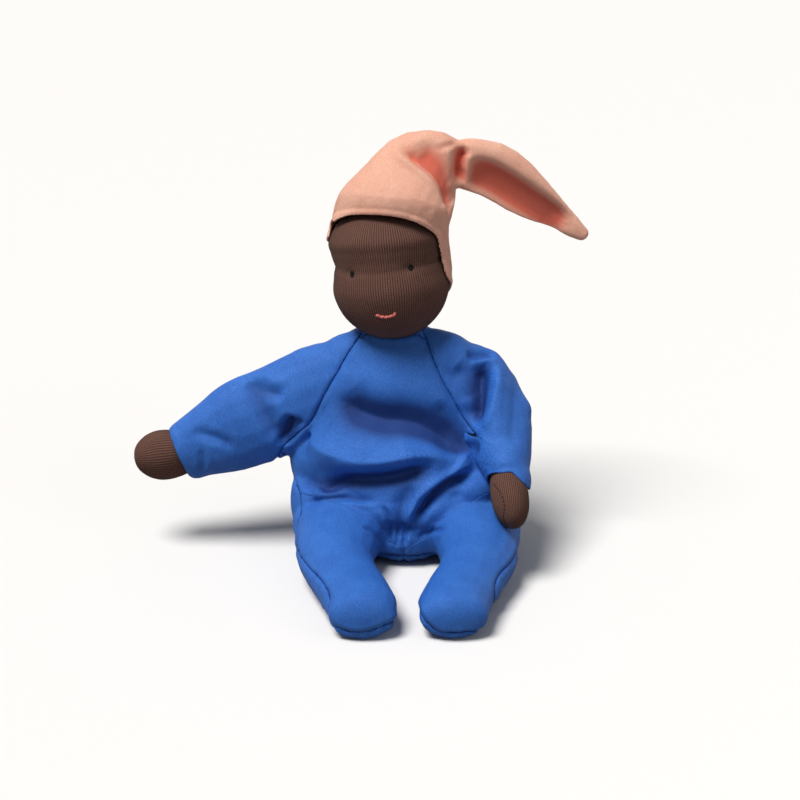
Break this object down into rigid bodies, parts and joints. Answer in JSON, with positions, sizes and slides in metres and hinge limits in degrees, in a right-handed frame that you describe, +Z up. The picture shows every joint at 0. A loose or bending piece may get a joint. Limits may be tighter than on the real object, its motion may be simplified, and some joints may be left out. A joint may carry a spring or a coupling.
{
  "type": "waldorf doll",
  "caption": "Seated cloth doll with a knit head, dot eyes, woven suit with raglan sleeves and feet, and a long folded pointed cap; head, arms, hands, legs and cap tail move.",
  "frame": {"origin": "on the floor under the crotch, on the flat underside of the seat", "axes": "+Z up, the doll faces -Y, +X is the doll's own left"},
  "size_m": [0.2255, 0.1498, 0.2128],
  "materials": {
    "suit_cloth": "plain woven cotton, matte with a faint sheen",
    "skin_knit": "fine rib knit, matte",
    "cap_cloth": "fine crepe cotton, matte",
    "wool": "loose or wound sheep's wool",
    "gauze": "white tube gauze",
    "white_thread": "strong cotton thread",
    "eye_thread": "embroidery thread",
    "mouth_thread": "embroidery thread"
  },
  "bodies": {
    "torso": {"suit_front": "suit_cloth", "suit_back": "suit_cloth", "torso_stuffing": "wool"},
    "neck": {"neck_core": "wool", "neck_tie": "white_thread"},
    "head": {"head_skin": "skin_knit", "head_gauze": "gauze", "head_core": "wool", "eye_line_thread": "white_thread", "right_eye": "eye_thread", "left_eye": "eye_thread", "mouth": "mouth_thread", "cap_crown": "cap_cloth"},
    "tail": {"cap_tail": "cap_cloth"},
    "right_arm": {"right_sleeve": "suit_cloth", "right_arm_stuffing": "wool"},
    "right_hand": {"right_hand_skin": "skin_knit", "right_hand_stuffing": "wool", "right_hand_tie": "white_thread"},
    "left_arm": {"left_sleeve": "suit_cloth", "left_arm_stuffing": "wool"},
    "left_hand": {"left_hand_skin": "skin_knit", "left_hand_stuffing": "wool", "left_hand_tie": "white_thread"},
    "right_leg": {"right_leg_front": "suit_cloth", "right_leg_back": "suit_cloth", "right_leg_stuffing": "wool"},
    "left_leg": {"left_leg_front": "suit_cloth", "left_leg_back": "suit_cloth", "left_leg_stuffing": "wool"}
  },
  "joints": [
    {"name": "head_turn", "type": "hinge", "parent": "torso", "child": "neck", "pos_m": [-0.007, 0.001, 0.109], "axis": [0, 0, 1], "range_deg": [-40, 40]},
    {"name": "head_nod", "type": "hinge", "parent": "neck", "child": "head", "pos_m": [-0.007, 0.001, 0.119], "axis": [1, 0, 0], "range_deg": [-15, 16]},
    {"name": "cap_tail_swing", "type": "hinge", "parent": "head", "child": "tail", "pos_m": [0.0265, 0.005, 0.197], "axis": [0, 1, 0], "range_deg": [-34, 14]},
    {"name": "right_shoulder_raise", "type": "hinge", "parent": "torso", "child": "right_arm", "pos_m": [-0.0435, 0, 0.082], "axis": [0, 1, 0], "range_deg": [-14, 68]},
    {"name": "right_wrist_bend", "type": "hinge", "parent": "right_arm", "child": "right_hand", "pos_m": [-0.11586, -0.00516, 0.05028], "axis": [0, 1, 0], "range_deg": [-30, 8]},
    {"name": "left_shoulder_raise", "type": "hinge", "parent": "torso", "child": "left_arm", "pos_m": [0.0275, 0, 0.082], "axis": [0, -1, 0], "range_deg": [0, 72]},
    {"name": "left_wrist_bend", "type": "hinge", "parent": "left_arm", "child": "left_hand", "pos_m": [0.04902, -0.03602, 0.0482], "axis": [-1, 0, 0], "range_deg": [0, 20]},
    {"name": "right_hip_fold", "type": "hinge", "parent": "torso", "child": "right_leg", "pos_m": [-0.0315, -0.006, 0.0203], "axis": [1, 0, 0], "range_deg": [0, 85]},
    {"name": "left_hip_fold", "type": "hinge", "parent": "torso", "child": "left_leg", "pos_m": [0.0315, -0.006, 0.0203], "axis": [1, 0, 0], "range_deg": [0, 85]}
  ]
}
